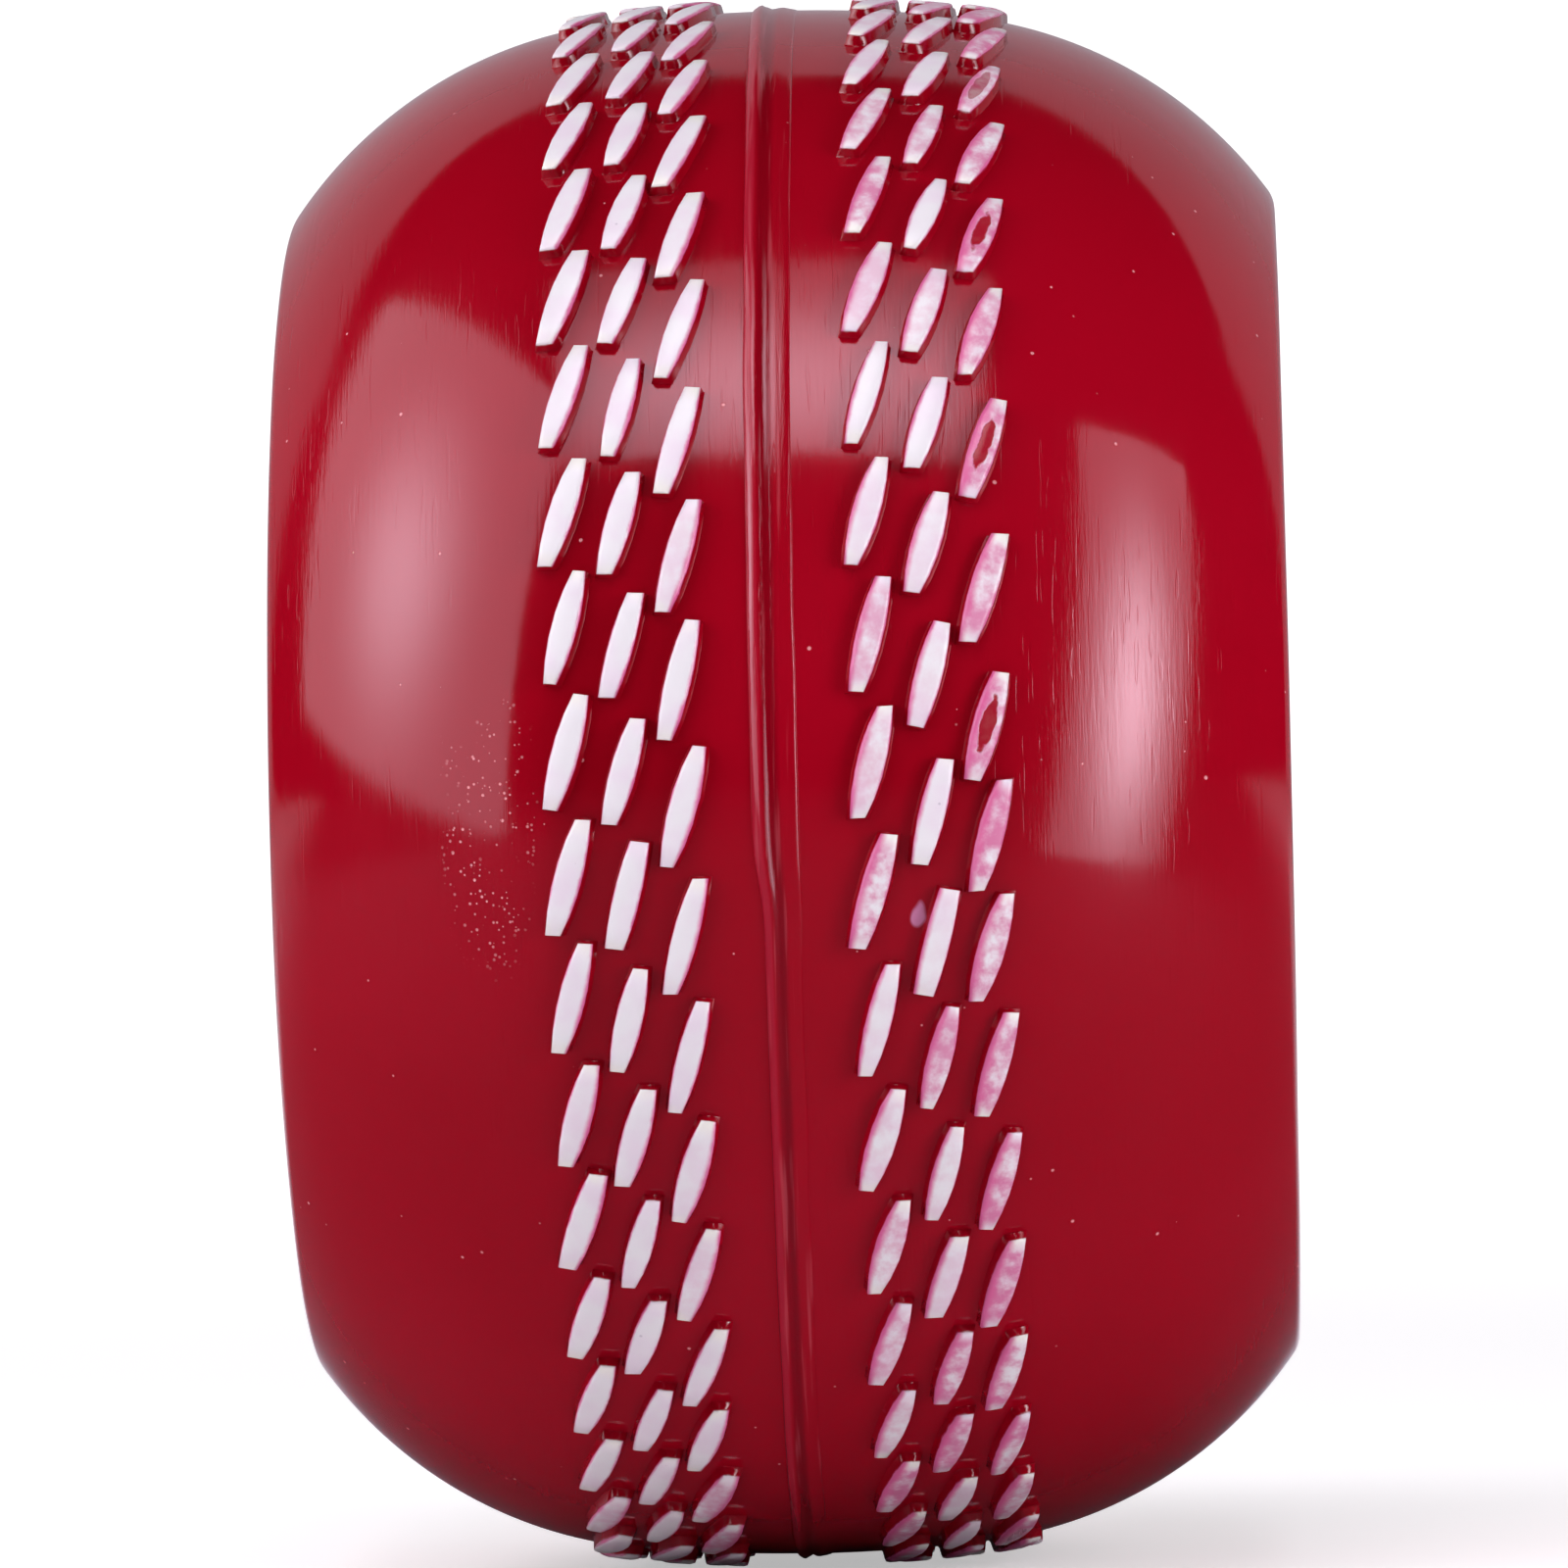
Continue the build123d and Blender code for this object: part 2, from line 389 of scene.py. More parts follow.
outputs = {"Color": "NodeSocketColor", "Roughness": "NodeSocketFloat", "Height": "NodeSocketFloat"}
vinyl, given, result = new_group("red_vinyl", {"Scuffs": 1.0, "Pits": 1.0}, outputs)
place = add(vinyl, "ShaderNodeTexCoord").outputs["Object"]
parts = add(vinyl, "ShaderNodeSeparateXYZ", {0: place})

# Scratches: noise squeezed along the axis, so that each patch becomes a thin streak round the ball.
squeezed = vector(vinyl, "MULTIPLY", place, (14.0, 0.9, 0.9)).outputs[0]
streaks = noise(vinyl, squeezed, 520.0, 3.0, 0.65)
deep_streaks = ramp(vinyl, noise(vinyl, squeezed, 330.0, 1.0), 0.64, 0.70)
scuffed = ramp(vinyl, noise(vinyl, place, 70.0, 2.0), 0.36, 0.62)
scuffed = maths(vinyl, "MULTIPLY", scuffed, given.outputs["Scuffs"])

# Pits: burst bubbles, crowded left of the stitches and rare elsewhere. They are dents in the bump, and their
# pale pink colour is a painted glint.
from_cluster = vector(vinyl, "SUBTRACT", place, (-0.0125, -0.0340, -0.0015)).outputs[0]
narrow = vector(vinyl, "MULTIPLY", from_cluster, (2.4, 1.0, 0.8)).outputs[0]
crowded = ramp(vinyl, vector(vinyl, "LENGTH", narrow).outputs["Value"], 0.0062, 0.0030)
crowded = maths(vinyl, "MULTIPLY", crowded, ramp(vinyl, noise(vinyl, place, 480.0), 0.42, 0.54))
dense_pits = maths(vinyl, "MULTIPLY", spots(vinyl, 4200.0, 0.42, 0.4, 0.0), crowded)
thin_pits = spots(vinyl, 1100.0, 0.13, 0.87, 0.31)
pits_and_glints = maths(vinyl, "MULTIPLY", maths(vinyl, "MAXIMUM", dense_pits, thin_pits), given.outputs["Pits"])

# Dust and paint smears: light flecks, and lilac dabs that keep to the stitched bands.
dust = spots(vinyl, 330.0, 0.045, 0.72, 0.77)
from_seam = maths(vinyl, "ABSOLUTE", parts.outputs[0])
near_stitches = maths(
    vinyl, "MULTIPLY", ramp(vinyl, from_seam, 0.0025, 0.004), ramp(vinyl, from_seam, 0.0125, 0.0105)
)
drawn = vector(vinyl, "MULTIPLY", place, (1.0, 0.6, 0.6)).outputs[0]
smears = ramp(vinyl, noise(vinyl, drawn, 420.0, 2.0), 0.735, 0.77)
smears = maths(vinyl, "MULTIPLY", smears, near_stitches)

cloudy = ramp(vinyl, noise(vinyl, place, 45.0, 3.0), 0.3, 0.7)
red = blend(vinyl, cloudy, (0.268, 0.0005, 0.0075), (0.300, 0.0008, 0.0100))
# Painted highlight: the pits' glints are a pale pink in the colour.
red = blend(vinyl, maths(vinyl, "MULTIPLY", pits_and_glints, 0.8), red, (0.80, 0.32, 0.34))
red = blend(vinyl, maths(vinyl, "MULTIPLY", dust, 0.7), red, (0.62, 0.33, 0.28))
red = blend(vinyl, maths(vinyl, "MULTIPLY", smears, 0.75), red, (0.62, 0.24, 0.45))
rough = ramp(vinyl, streaks, 0.3, 0.75, 0.06, 0.09)
rough = maths(vinyl, "MULTIPLY_ADD", scuffed, 0.03, rough)
handled = ramp(vinyl, noise(vinyl, place, 260.0, 3.0, 0.6), 0.4, 0.7)
rough = maths(vinyl, "MULTIPLY_ADD", handled, 0.02, rough)
rough = maths(vinyl, "MULTIPLY_ADD", maths(vinyl, "MAXIMUM", dust, smears), 0.3, rough)

# Heights in metres: slow moulding waves, orange peel, scratches and pits.
height = maths(vinyl, "MULTIPLY", noise(vinyl, place, 110.0, 1.0), 20e-6)
height = maths(vinyl, "MULTIPLY_ADD", noise(vinyl, place, 900.0, 1.0), 2.0e-6, height)
height = maths(vinyl, "MULTIPLY_ADD", maths(vinyl, "MULTIPLY", streaks, scuffed), 7e-6, height)
height = maths(vinyl, "MULTIPLY_ADD", maths(vinyl, "MULTIPLY", deep_streaks, scuffed), -3.5e-6, height)
height = maths(vinyl, "MULTIPLY_ADD", pits_and_glints, -12e-6, height)
height = maths(vinyl, "MULTIPLY_ADD", maths(vinyl, "MAXIMUM", dust, smears), 12e-6, height)
for name, value in (("Color", red), ("Roughness", rough), ("Height", height)):
    vinyl.links.new(value, result.inputs[name])
print("red_vinyl has", len(vinyl.nodes), "nodes")

# %% Material: moulded shell


def vinyl_material(name, scuffs, pits_and_glints, trimmed_with_painted_light=False):
    """The vinyl group under a hard gloss, with its height as a bump.

    Trimmed vinyl also reads how far across the bead a point is. The trough beside the ridge is darkened as
    painted shade, the ridge near the left edge is lightened as a painted highlight, and thin paler lines mark
    where the knife dragged.
    """
    material, tree = new_material(name)
    skin = add(tree, "ShaderNodeGroup", node_tree=vinyl)
    skin.inputs["Scuffs"].default_value = scuffs
    skin.inputs["Pits"].default_value = pits_and_glints
    bump = add(tree, "ShaderNodeBump", {"Height": skin.outputs["Height"], "Distance": 1.0})
    look = {
        "Base Color": skin.outputs["Color"],
        "Roughness": skin.outputs["Roughness"],
        "Normal": bump.outputs[0],
    }
    if trimmed_with_painted_light:
        share = add(tree, "ShaderNodeAttribute", attribute_name="share").outputs["Fac"]
        # Painted shade: the trough beside the ridge is darkened in the colour below.
        trough = maths(tree, "MULTIPLY", ramp(tree, share, 0.24, 0.34), ramp(tree, share, 0.66, 0.50))
        place = add(tree, "ShaderNodeTexCoord").outputs["Object"]
        drawn = vector(tree, "MULTIPLY", place, (9.0, 0.3, 0.3)).outputs[0]
        dragged = ramp(tree, noise(tree, drawn, 380.0, 2.0), 0.56, 0.72)
        tone = blend(tree, maths(tree, "MULTIPLY", trough, 0.55), skin.outputs["Color"], (0.13, 0.0, 0.004))
        # Painted highlight: the ridge near the left edge is lightened in the colour.
        painted_ridge_highlight = maths(tree, "MULTIPLY", ramp(tree, share, 0.0, 0.05), ramp(tree, share, 0.26, 0.18))
        tone = blend(tree, maths(tree, "MULTIPLY", painted_ridge_highlight, 0.25), tone, (0.52, 0.03, 0.07))
        look["Base Color"] = blend(tree, maths(tree, "MULTIPLY", dragged, 0.30), tone, (0.55, 0.10, 0.13))
    gloss = add(tree, "ShaderNodeBsdfPrincipled", look)
    gloss.inputs["IOR"].default_value = 1.5
    gloss.inputs["Specular IOR Level"].default_value = 0.62
    gloss.inputs["Specular Tint"].default_value = (1.0, 0.84, 0.95, 1.0)
    add(tree, "ShaderNodeOutputMaterial", {0: gloss.outputs[0]})
    return material


shell_vinyl = vinyl_material("moulded_red_vinyl", 1.0, 1.0)
print(shell_vinyl.name, "has", len(shell_vinyl.node_tree.nodes), "nodes of its own")

# %% [markdown]
# ## Half shells
# Each half is a cup with a flat side and a 5 mm wall. It is a profile turned about the axis. The profile
# starts in the middle of the flat side, at the trimmed feed mark, and runs over the edge, the shoulder and
# the crown to the seam, then back along the joint and inside the wall, so the surface closes on itself. A
# slow unevenness of a few hundredths of a millimetre goes in as real shape, because gloss makes it visible.

# %% Half shell surface


def shell_profile():
    """The right half's profile, as distances along the axis and radii, from the outer pole to the inner one.

    The feed mark's points are a nub in a shallow recess. After them come the straight flat side, the arcs
    of the edge and the shoulder, the crown as the barrel function gives it, the joint at the seam and the
    inside of the wall.
    """
    face = HALF_WIDTH
    nub_top, recess = face - 0.15 * MM, face - 0.4 * MM
    feed = [
        (nub_top, 0.3 * MM), (nub_top, 0.65 * MM), (nub_top - 0.04 * MM, 0.82 * MM),
        (nub_top - 0.1 * MM, 0.9 * MM), (recess + 0.03 * MM, 0.93 * MM), (recess, 1.0 * MM),
        (recess, 1.6 * MM), (recess, 2.3 * MM), (recess, 2.8 * MM), (recess + 0.05 * MM, 2.95 * MM),
        (face - 0.08 * MM, 3.0 * MM), (face - 0.02 * MM, 3.04 * MM), (face, 3.12 * MM),
    ]
    fillet_x = face - RIM_FILLET
    fillet_r = shoulder_r + sqrt((SHOULDER_RADIUS - RIM_FILLET) ** 2 - (fillet_x - shoulder_x) ** 2)
    meet = atan2(fillet_r - shoulder_r, fillet_x - shoulder_x)
    flat_r = np.linspace(3.6 * MM, fillet_r - 0.3 * MM, 14)
    edge = np.linspace(0, meet, 8)
    shoulder = np.linspace(meet, pi / 2 - asin(CROWN_HALF_WIDTH / CROWN_RADIUS), 40)[1:]
    crown_x = np.linspace(CROWN_HALF_WIDTH, 0.35 * MM, 18)[1:]
    inner_x = np.linspace(0, face - WALL - 2.5 * MM, 10)
    x = np.concatenate([
        [p[0] for p in feed], np.full(len(flat_r), face), fillet_x + RIM_FILLET * np.cos(edge),
        shoulder_x + SHOULDER_RADIUS * np.cos(shoulder), crown_x, [0.1 * MM, 0, 0], inner_x,
        [face - WALL, face - WALL],
    ])
    r = np.concatenate([
        [p[1] for p in feed], flat_r, fillet_r + RIM_FILLET * np.sin(edge),
        shoulder_r + SHOULDER_RADIUS * np.sin(shoulder), barrel(crown_x)[0],
        BALL_RADIUS - np.array([0.6, 0.9, 2.5]) * MM, barrel(inner_x)[0] - WALL, [20 * MM, 0.5 * MM],
    ])
    return x, r


def unevenness(x, angle, seed):
    """A slow swell of a few hundredths of a millimetre: the sum of eight waves that fit round the ball."""
    chance = np.random.default_rng(seed)
    swell = np.zeros(np.broadcast(x, angle).shape)
    for turns in (2, 3, 5, 7, 9, 11, 14, 17):
        size, along, phase = chance.uniform(0.4, 1.0), chance.uniform(-260, 260), chance.uniform(0, 2 * pi)
        swell += size / turns * np.sin(turns * angle + along * x + phase)
    return 0.03 * MM * swell


def half_shell(name, side, seed):
    """One half: the profile turned about the axis, plus the unevenness along the radius and the axis.

    The unevenness fades out towards the axis, where its waves would meet in a star. Side is 1 for the right
    half and -1 for the left. The two poles are single points, joined to the first and last rings by
    triangles.
    """
    around = 480
    fade_start, fade_length = 8 * MM, 12 * MM
    x, r = shell_profile()
    angle = np.linspace(0, 2 * pi, around, endpoint=False)
    away_from_axis = np.clip((r[:, None] - fade_start) / fade_length, 0, 1) ** 2
    swell = unevenness(side * x[:, None], angle, seed) * away_from_axis
    flat = np.clip((x[:, None] - 19 * MM) / (3.8 * MM), 0, 1)
    points = around_axis(side * (x[:, None] + swell * flat), r[:, None] + swell * (1 - flat), angle)
    rings = len(x)
    poles = np.array([[side * x[0], 0, 0], [side * x[-1], 0, 0]])
    walls = grid_faces(rings, around, wrap_columns=True)
    first = np.arange(around)
    last = first + (rings - 1) * around
    outer = np.stack([np.full(around, rings * around), np.roll(first, -1), first], axis=-1)
    inner = np.stack([np.full(around, rings * around + 1), last, np.roll(last, -1)], axis=-1)
    if side > 0:
        walls, outer, inner = walls[:, ::-1], outer[:, ::-1], inner[:, ::-1]
    points = np.vstack([points.reshape(-1, 3), poles])
    shell = mesh_object(name, points, [walls, outer, inner], shell_vinyl)
    shell.data.set_sharp_from_angle(angle=radians(40))
    print(name, len(shell.data.polygons), "faces")
    return shell


right_shell = half_shell("right_shell_skin", 1, 11)
left_shell = half_shell("left_shell_skin", -1, 12)
for shell, node in ((right_shell, "right_half_shell"), (left_shell, "left_half_shell")):
    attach(shell, "root")
    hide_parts(node)

# %% [markdown]
# ## Weld bead
# Where the halves were welded, soft vinyl welled up out of the joint. It was pared down with a knife held at
# a slant, so the bead is a low ridge, highest near its left edge, with lengthwise cut lines and a wandering
# course. A bevelled curve would be as even as a toy. Here the cross-section is a function of the angle: the
# knife's height, slant and edges drift as it goes round, and in one place the cut steps sideways.

# %% Bead surface
bead_vinyl = vinyl_material("trimmed_red_vinyl", 1.6, 0.3, trimmed_with_painted_light=True)


def drift(angle, seed, lowest, highest):
    """A smooth wander between about -1 and 1 that closes on itself after a turn."""
    chance = np.random.default_rng(seed)
    total = np.zeros_like(angle)
    for turns in range(lowest, highest):
        total += chance.normal() * np.sin(turns * angle + chance.uniform(0, 2 * pi)) / sqrt(turns)
    return total / np.abs(total).max()


def weld_bead(name):
    """The bead as a closed tube round the ball: 20 points across by 720 around.

    Across it, a share s runs from the left edge to the right one. The height is a steep rise to a ridge at
    about a fifth of the width, a trough beside it and a slant down to the right edge, plus cut lines that
    are a function of s alone over long stretches. Five of the points are under the surface and close the
    section.
    """
    around = 720
    angle = np.linspace(-pi, pi, around, endpoint=False)
    share_across = np.array([
        0, 0.05, 0.1, 0.16, 0.22, 0.28, 0.35, 0.43, 0.52, 0.61, 0.7, 0.79, 0.87, 0.94, 1.0
    ])
    # The left edge steps to the right just below the front, and goes back before the rear.
    step = 0.5 / (1 + np.exp((angle + radians(7)) / radians(1.2)))
    step = step / (1 + np.exp(-(angle + radians(120)) / radians(6)))
    centre = 0.12 * drift(angle, 3, 1, 5) - 0.25 * np.abs(np.sin(angle)) + 0.1
    left = centre - 1.08 + step + 0.04 * drift(angle, 4, 6, 40)
    right_edge = centre + 1.05 + 0.05 * drift(angle, 5, 4, 50)
    peak = 0.30 + 0.05 * drift(angle, 6, 3, 24)
    s = share_across[:, None]
    ridge_at = 0.2 + 0.03 * drift(angle, 7, 2, 12)
    rise = np.clip(s / ridge_at, 0, 1) ** 0.8
    fall = np.clip((1 - s) / (1 - ridge_at), 0, 1) ** 0.75
    coarse_lines = 0.018 * np.sin(23 * s + 1.5 * drift(angle, 8, 1, 6))
    lines = coarse_lines + 0.012 * np.sin(41 * s + drift(angle, 9, 1, 9))
    trough = 0.15 * np.exp(-(((s - ridge_at - 0.22) / 0.13) ** 2))
    height = peak * np.minimum(rise, fall) - trough + lines * np.minimum(rise, fall)
    height = np.maximum(height, 0) - 0.02 * (s * (1 - s) < 0.01)
    x = (left + (right_edge - left) * s) * MM
    top = around_axis(x, barrel(x)[0] + height * MM, angle)
    under_share = np.array([0.92, 0.7, 0.5, 0.3, 0.08])[:, None]
    under_x = (left + (right_edge - left) * under_share) * MM
    depth = np.array([0.25, 0.45, 0.5, 0.45, 0.25])[:, None] * MM
    under = around_axis(under_x, barrel(under_x)[0] - depth, angle)
    points = np.concatenate([top, under])
    faces = grid_faces(len(points), around, wrap_rows=True, wrap_columns=True)
    piece = mesh_object(name, points, [faces[:, ::-1]], bead_vinyl)
    shares = np.repeat(np.concatenate([share_across, under_share[:, 0]]), around)
    column = piece.data.attributes.new("share", "FLOAT", "POINT")
    column.data.foreach_set("value", shares.astype(np.float32))
    return piece


bead = weld_bead("weld_bead")
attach(bead, "root")
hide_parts("seam_bead")
print("weld bead:", len(bead.data.polygons), "faces")

# %% [markdown]
# ## Paint on the stitches
# A roller laid white paint on the tops of the moulded stitches. It is thick and white in the middle, thins
# to pink where the top turns down, and never reached the flanks. The side that faces the seam got least, and
# the right-hand rows are worn pink, and worn through in places. Stripes in a texture would not follow the
# relief, so the mesh carries its own numbers at each point: how far up the relief it is, how worn its stitch
# is, and how far across and along the stitch it lies.

# %% Material: painted stitch
stitch_paint, tree = new_material("painted_stitch")
skin = add(tree, "ShaderNodeGroup", node_tree=vinyl)
skin.inputs["Scuffs"].default_value = 0.5
skin.inputs["Pits"].default_value = 0.0
rise = add(tree, "ShaderNodeAttribute", attribute_name="rise").outputs["Fac"]
wear = add(tree, "ShaderNodeAttribute", attribute_name="wear").outputs["Fac"]
spread = add(tree, "ShaderNodeSeparateXYZ", {0: add(tree, "ShaderNodeUVMap", uv_map="stitch").outputs[0]})
across, along = spread.outputs[0], spread.outputs[1]
place = add(tree, "ShaderNodeTexCoord").outputs["Object"]
grain = noise(tree, place, 1500.0, 3.0, 0.6)
patches = noise(tree, place, 520.0, 2.0)

# Cover is 1 where there is paint: above the shoulder, with an edge that the noise makes ragged.
ragged = maths(tree, "MULTIPLY_ADD", grain, 0.3, maths(tree, "MULTIPLY_ADD", patches, 0.2, -0.25))
cover = ramp(tree, maths(tree, "ADD", rise, ragged), 0.48, 0.66)

# The paint thins towards its edges, and the more a stitch is worn the further it thins on the seam side.
inward = maths(tree, "SUBTRACT", 1.0, maths(tree, "MULTIPLY_ADD", ragged, 0.9, across))
outward = maths(tree, "ADD", 1.0, maths(tree, "MULTIPLY_ADD", ragged, -0.5, across))
band = maths(tree, "MULTIPLY_ADD", wear, 0.75, 0.22)
thick = ramp(tree, maths(tree, "DIVIDE", inward, band), 0.1, 1.0)
thick = maths(tree, "MULTIPLY", thick, ramp(tree, outward, 0.02, 0.22))

# Worn through: a ragged oval in the middle of the stitches whose wear is above 1.
bare = maths(tree, "POWER", maths(tree, "MULTIPLY", across, 1.7), 2.0)
bare = maths(tree, "ADD", maths(tree, "POWER", maths(tree, "MULTIPLY", along, 1.5), 2.0), bare)
bare = maths(tree, "MULTIPLY_ADD", grain, 1.2, maths(tree, "SUBTRACT", bare, 1.7))
bare = ramp(tree, maths(tree, "MULTIPLY_ADD", patches, 2.2, bare), 0.75, 0.5)
bare = maths(tree, "MULTIPLY", bare, ramp(tree, wear, 1.0, 1.02))
cover = maths(tree, "MULTIPLY", cover, maths(tree, "MULTIPLY_ADD", bare, -0.96, 1.0))

tips = ramp(tree, maths(tree, "ABSOLUTE", along), 0.7, 1.0)
white = blend(tree, tips, (0.72, 0.705, 0.735), (0.75, 0.735, 0.69))
white = blend(tree, ramp(tree, patches, 0.35, 0.7), white, (0.71, 0.63, 0.71))
mottled = maths(tree, "MULTIPLY_ADD", grain, 0.7, maths(tree, "MULTIPLY", patches, 0.5))
tired = maths(tree, "MULTIPLY", ramp(tree, wear, 0.3, 1.0), ramp(tree, mottled, 0.40, 0.74))
tired = maths(tree, "MULTIPLY", tired, maths(tree, "SUBTRACT", 1.0, tips))
white = blend(tree, tired, white, (0.58, 0.17, 0.32))
specks = spots(tree, 1500.0, 0.16, 0.93, 0.5)
white = blend(tree, maths(tree, "MULTIPLY", specks, 0.5), white, (0.35, 0.30, 0.38))
pink = blend(tree, thick, (0.60, 0.10, 0.27), white)
colour = blend(tree, cover, skin.outputs["Color"], pink)
roughness = maths(tree, "MULTIPLY_ADD", cover, 0.22, skin.outputs["Roughness"])
film = maths(tree, "MULTIPLY_ADD", cover, 20e-6, skin.outputs["Height"])
film = maths(tree, "MULTIPLY_ADD", maths(tree, "MULTIPLY", grain, cover), 5e-6, film)
bump = add(tree, "ShaderNodeBump", {"Height": film, "Distance": 1.0})
look = {"Base Color": colour, "Roughness": roughness, "Normal": bump.outputs[0]}
gloss = add(tree, "ShaderNodeBsdfPrincipled", look)
gloss.inputs["IOR"].default_value = 1.5
add(tree, "ShaderNodeOutputMaterial", {0: gloss.outputs[0]})
print(stitch_paint.name, "has", len(tree.nodes), "nodes of its own")

# %% [markdown]
# ## Stitch rows
# There are forty stitches in a row, nine degrees apart, and six rows. Each stitch is a boat-shaped pillow
# that leans off its row. It is a stack of outlines: a foot, a flank, a rounded shoulder and a flat top. All
# forty are worked out at once as one array, and each gets a little of its own size, place and wear, because
# the mould was cut by hand.

# %% Stitch surface
STITCHES = 40
PITCH = 2 * pi / STITCHES
LEAN = radians(16.0)
HALF_LONG, HALF_MID, HALF_END = 2.5, 0.62, 0.37  # usual half length and half widths, in millimetres
# Each ring of the stack: how far it lies outside the outline, its height, and the paint's rise there.
RINGS = [
    (0.12, -0.03, 0.0), (0.05, 0.09, 0.2), (-0.01, 0.42, 0.5), (-0.06, 0.55, 0.8), (-0.21, 0.60, 1.0)
]
# The outline's points on one side, as shares of the half length.
STATIONS = np.array([-1, -0.62, -0.22, 0.22, 0.62, 1.0])


def stitch_row(name, row, first, length, wear, crowd, shift=(0.0, 0.0, 1.0), seed=0):
    """Forty stitches whose row lies row millimetres from the seam, negative on the left.

    A point of a stitch has an across and an along part on the flat. They are turned by the lean, moved to
    the row, and then wrapped onto the barrel: across becomes distance along the axis and along becomes
    angle. Its height goes along the barrel's normal. First is the angle of stitch 0 in degrees above -Y.
    Crowd is how many degrees a quarter of the row is drawn in towards the front, as a sine of the angle, and
    shift is (amount, angle, width) in degrees of a place where the stitches are bunched. Wear is the range
    of wear from stitch to stitch, and it grows towards the lowest stitch.
    """
    chance = np.random.default_rng(seed)
    count = STITCHES
    turn = radians(first) + PITCH * np.arange(count)
    turn = (turn + pi) % (2 * pi) - pi
    bunch = radians(shift[0]) * np.exp(-(((np.degrees(turn) - shift[1]) / shift[2]) ** 2))
    turn = turn + bunch - radians(crowd) * np.sin(turn) + radians(0.09) * chance.normal(size=count)
    row_x = row + 0.05 * chance.normal(size=count)
    lean = LEAN + radians(1.0) * chance.normal(size=count)
    half_long = length / 2 * (1 + 0.015 * chance.normal(size=count))
    half_mid = HALF_MID * (1 + 0.04 * chance.normal(size=count))
    half_end = HALF_END * (1 + 0.08 * chance.normal(size=count))
    end_turn = np.tan(LEAN - radians(4.0)) + 0.06 * chance.normal(size=count)
    own_wear = chance.uniform(*wear, size=count)
    below = np.clip(-np.sin(turn), 0, 1)
    not_bare = 0.99  # the paint is worn through where wear is above 1
    own_wear = np.where(own_wear < 1, np.minimum(own_wear * (1 + 0.8 * below), not_bare), own_wear)

    out, rise_mm, rise_share = (np.array(column)[:, None] for column in zip(*RINGS))
    bulge = 1 - STATIONS**2
    # Shapes are (stitch, ring, station), for the right side and then the left side of the outline.
    long_part = half_long[:, None, None] * STATIONS * (1 + 0.4 * out / HALF_LONG)
    outline = half_end[:, None, None] + (half_mid - half_end)[:, None, None] * bulge
    wide_part = outline + out
    across = np.concatenate([wide_part, -wide_part[..., ::-1]], axis=-1)
    along = np.concatenate([long_part, long_part[..., ::-1]], axis=-1)
    all_round = np.concatenate([STATIONS, STATIONS[::-1]])
    along = along + end_turn[:, None, None] * across * np.abs(all_round) ** 3
    lean, row_x = lean[:, None, None], row_x[:, None, None]
    x = (row_x + across * np.cos(lean) + along * np.sin(lean)) * MM
    up = (along * np.cos(lean) - across * np.sin(lean)) * MM
    radius, normal_x, normal_r = barrel(x)
    high = np.broadcast_to(rise_mm, across.shape) * MM
    points = around_axis(x + high * normal_x, radius + high * normal_r, turn[:, None, None] + up / radius)

    # One stitch has bands between its rings and a cap of four-cornered faces across the top one.
    ring_points = len(all_round)
    stack = grid_faces(len(RINGS), ring_points, wrap_columns=True)
    top_ring = (len(RINGS) - 1) * ring_points
    step = np.arange(len(STATIONS) - 1)
    low, opposite = top_ring + step, top_ring + ring_points - 1 - step
    cap = np.stack([low, low + 1, opposite - 1, opposite], axis=-1)
    one = np.vstack([stack, cap])
    first_points = np.arange(count) * len(RINGS) * ring_points
    faces = (one[None] + first_points[:, None, None]).reshape(-1, 4)
    piece = mesh_object(name, points, [faces], stitch_paint)

    mesh = piece.data
    toward_seam = -np.sign(row)
    width_here = np.concatenate([outline, outline[..., ::-1]], axis=-1)
    chart = np.stack([across / width_here * toward_seam, along / HALF_LONG], axis=-1).reshape(-1, 2)
    corner = np.zeros(len(mesh.loops), np.int32)
    mesh.loops.foreach_get("vertex_index", corner)
    mesh.uv_layers.new(name="stitch").data.foreach_set("uv", chart[corner].astype(np.float32).ravel())
    for label, values in (
        ("rise", np.broadcast_to(rise_share, across.shape)),
        ("wear", np.broadcast_to(own_wear[:, None, None], across.shape)),
    ):
        column = mesh.attributes.new(label, "FLOAT", "POINT")
        column.data.foreach_set("value", np.ascontiguousarray(values, np.float32).ravel())
    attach(piece, "root")
    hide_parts(name.replace("stitches", "stitch_paint"))
    print(name, count, "stitches,", len(mesh.polygons) // count, "faces each")


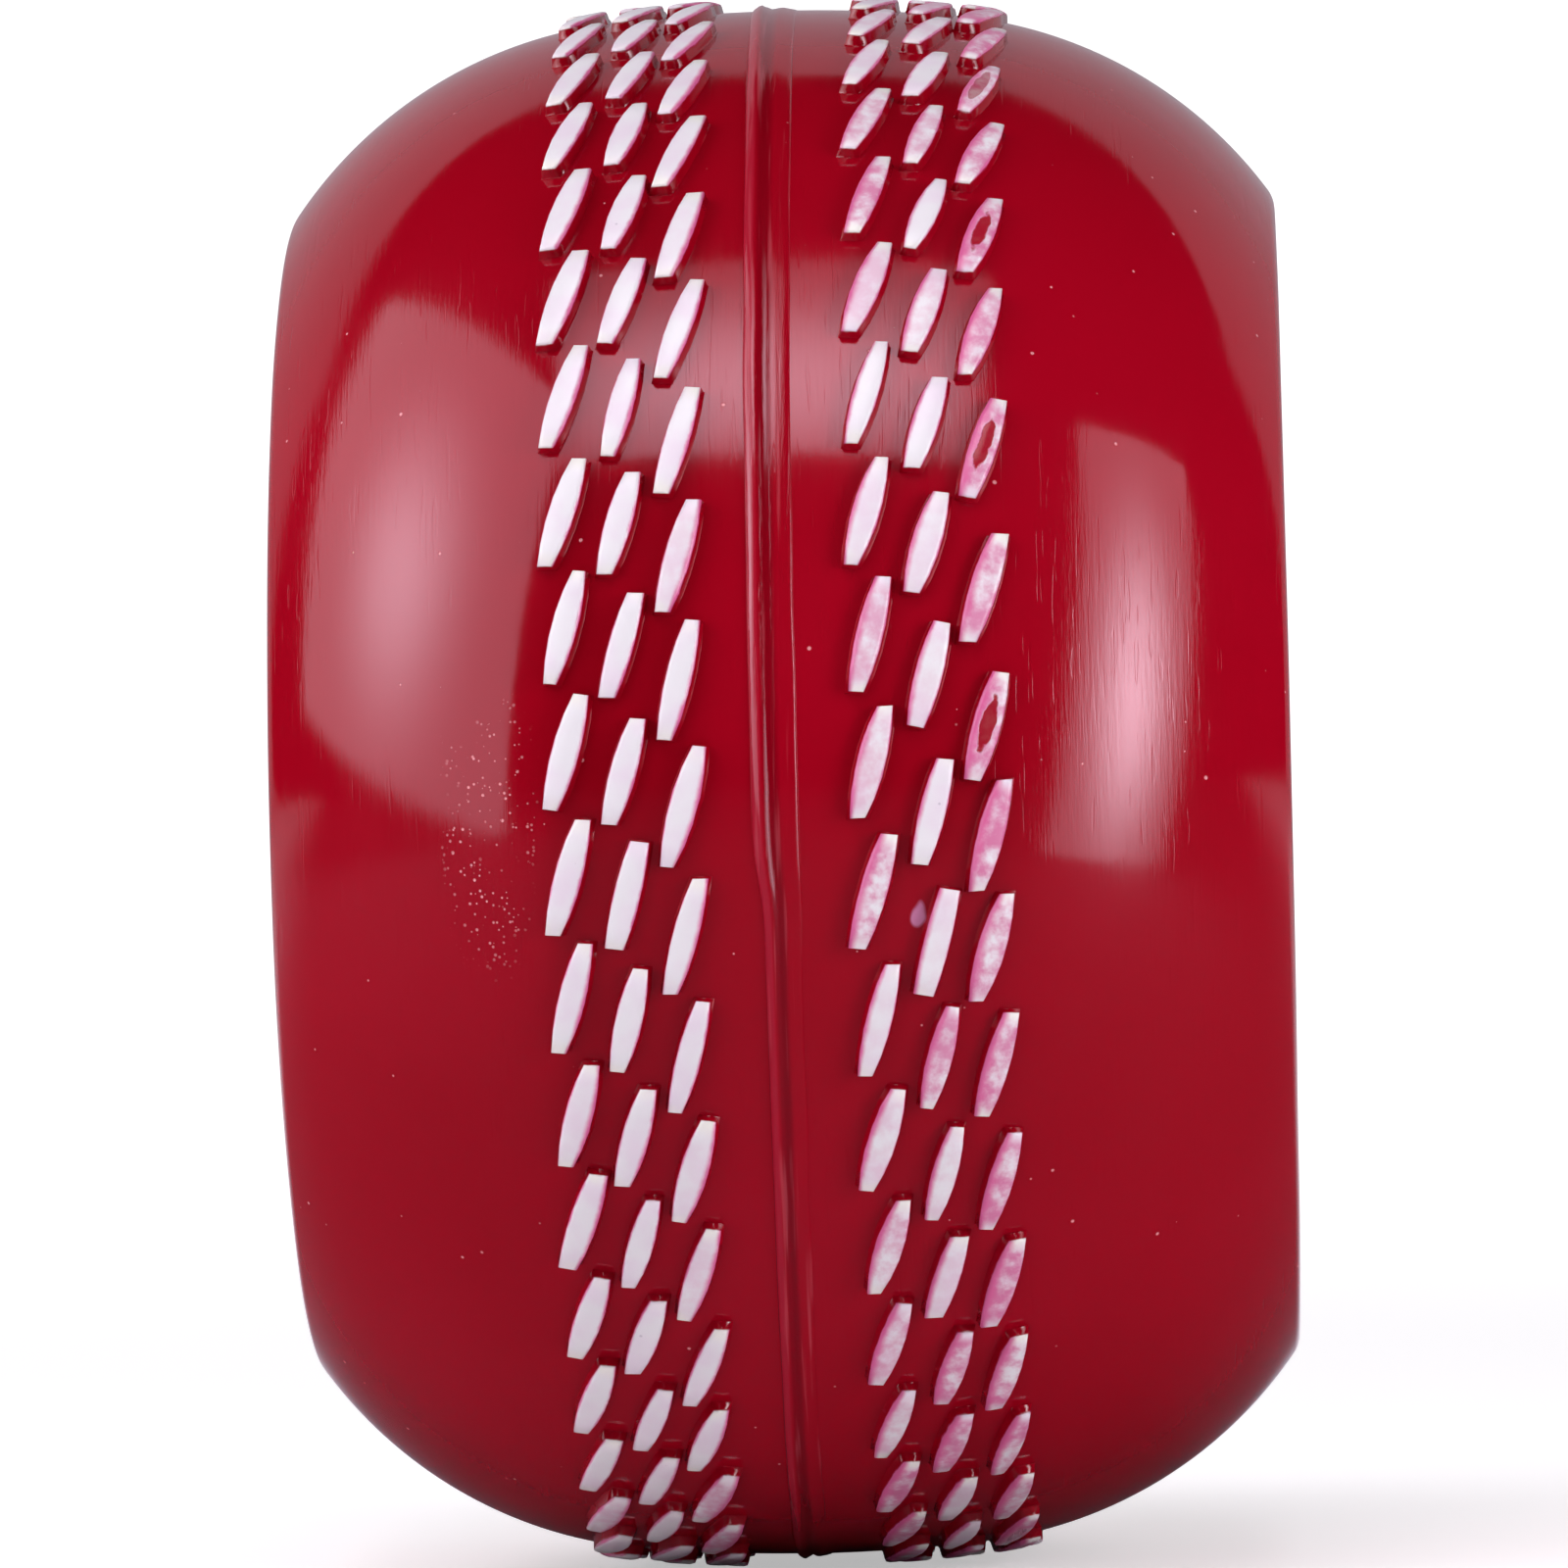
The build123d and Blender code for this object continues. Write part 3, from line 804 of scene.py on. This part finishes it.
# %% Six rows
stitch_row("left_outer_stitches", -8.95, 2.5, 5.2, (0.0, 0.35), crowd=1.8, seed=21)
stitch_row("left_middle_stitches", -6.46, 1.15, 4.85, (0.0, 0.25), crowd=1.2, seed=22)
stitch_row("left_inner_stitches", -3.92, -1.6, 5.3, (0.1, 0.5), crowd=1.15, seed=23)
stitch_row("right_inner_stitches", 4.40, 1.15, 5.2, (0.35, 0.9), crowd=0.0, seed=24)
stitch_row("right_middle_stitches", 6.94, -1.35, 4.75, (0.2, 0.7), crowd=-0.8, shift=(-1.0, -5, 14), seed=25)
stitch_row("right_outer_stitches", 9.42, -2.75, 4.95, (0.6, 1.12), crowd=-0.4, shift=(-2.5, 9, 13), seed=26)

# %% [markdown]
# ## Core
# The core can't be seen, but it is part of the object, so it keeps its CAD shape and gets a finish of its
# own: cork crumbs pressed in dark rubber, made from the cells of a Voronoi pattern.

# %% Material: cork and rubber
cork, tree = new_material("cork_and_rubber")
place = add(tree, "ShaderNodeTexCoord").outputs["Object"]
crumb = add(tree, "ShaderNodeTexVoronoi", {"Vector": place, "Scale": 550.0})
kind = add(tree, "ShaderNodeSeparateColor", {0: crumb.outputs["Color"]})
tone = blend(tree, kind.outputs[0], (0.20, 0.11, 0.06), (0.46, 0.29, 0.16))
tone = blend(tree, ramp(tree, crumb.outputs["Distance"], 0.35, 0.7), tone, (0.06, 0.04, 0.035))
bump = add(tree, "ShaderNodeBump", {"Height": crumb.outputs["Distance"], "Distance": 0.0001})
rough = ramp(tree, kind.outputs[1], 0.0, 1.0, 0.7, 0.95)
look = {"Base Color": tone, "Roughness": rough, "Normal": bump.outputs[0]}
matte = add(tree, "ShaderNodeBsdfPrincipled", look)
add(tree, "ShaderNodeOutputMaterial", {0: matte.outputs[0]})
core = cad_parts["core"]
core.data.materials.clear()
core.data.materials.append(cork)
print("core:", len(core.data.polygons), "faces in", cork.name)

# %% [markdown]
# ## Finish
# The view layer is brought up to date. The visual model has to stay in the CAD model's box.

# %% Finish
bpy.context.view_layer.update()
